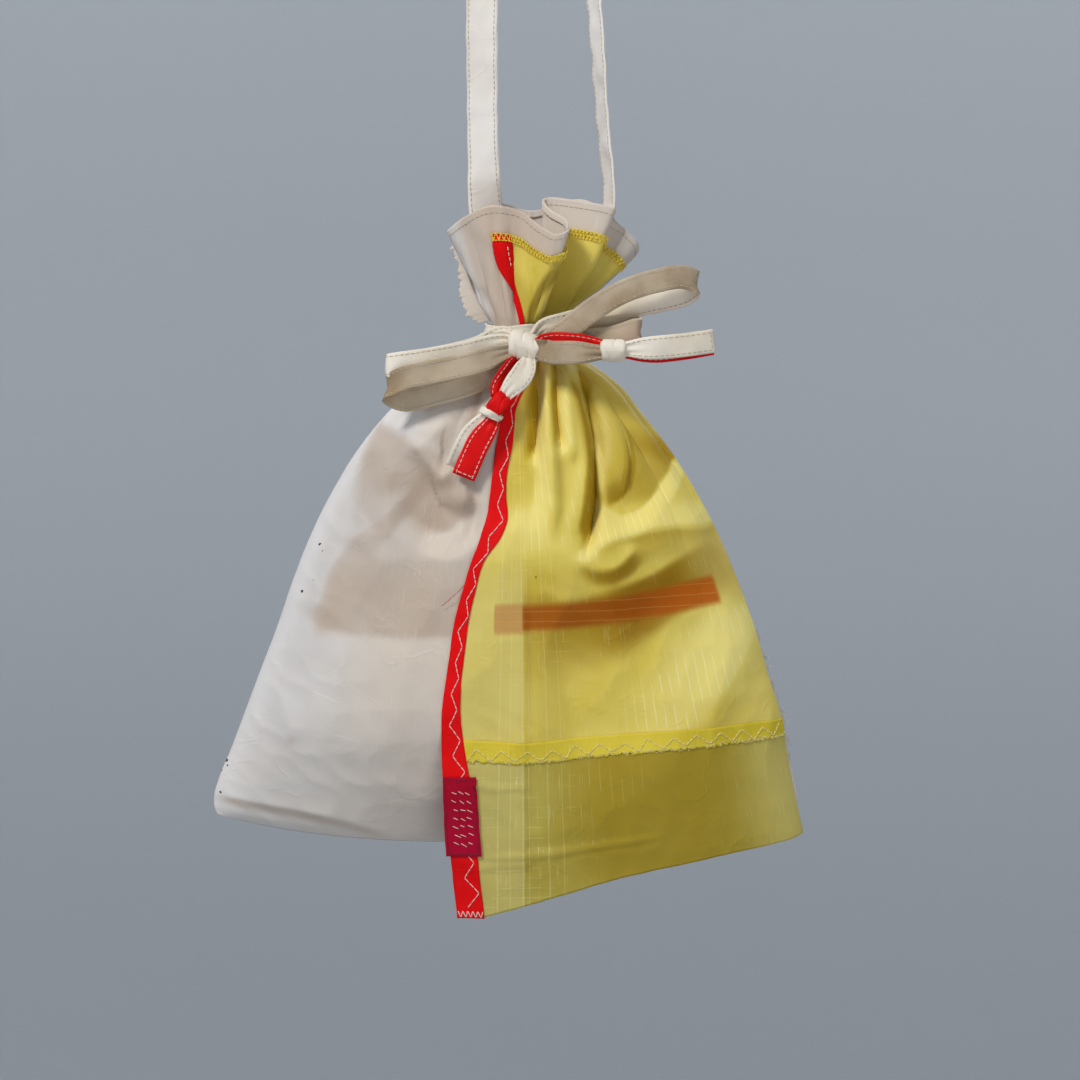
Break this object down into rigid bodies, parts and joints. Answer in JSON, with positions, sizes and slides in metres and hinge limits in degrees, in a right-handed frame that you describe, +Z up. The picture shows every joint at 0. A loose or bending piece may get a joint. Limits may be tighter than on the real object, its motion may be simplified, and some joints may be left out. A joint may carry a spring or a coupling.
{
  "type": "drawstring shoulder bag",
  "caption": "Drawstring shoulder bag of thin sail cloth, gathered at the neck by tied tapes, with a yellow and red apron on its white pouch and one flat strap.",
  "frame": {"origin": "middle of the shoulder strap at the top of its loop, where the bag hangs", "axes": "+Z up along the hanging bag, -Y towards the front with the bow, +X to the right seen from the front"},
  "size_m": [0.3284, 0.0873, 0.8044],
  "materials": {
    "white_cloth": "crisp translucent ripstop",
    "yellow_cloth": "crisp translucent ripstop",
    "red_cloth": "plain woven tape",
    "magenta_cloth": "plain woven patch",
    "cream_tape": "folded and stitched tape",
    "red_tape": "folded and stitched tape",
    "white_strap": "folded and stitched band"
  },
  "bodies": {
    "root": {"pouch": "white_cloth", "yellow_panel": "yellow_cloth", "yellow_band": "yellow_cloth", "red_strip": "red_cloth", "label_patch": "magenta_cloth", "neck_tie": "cream_tape", "bow_knot": "cream_tape", "left_loop_front": "cream_tape", "left_loop_back": "cream_tape", "right_loop_front": "cream_tape", "right_loop_back": "cream_tape", "right_tail": "cream_tape", "right_tail_knot": "cream_tape", "right_end_white": "cream_tape", "right_end_red": "red_tape", "left_tail_red": "red_tape", "left_tail_white": "cream_tape", "left_tail_knot": "red_tape", "left_end_red": "red_tape", "left_end_white": "cream_tape", "shoulder_strap": "white_strap"}
  },
  "joints": []
}
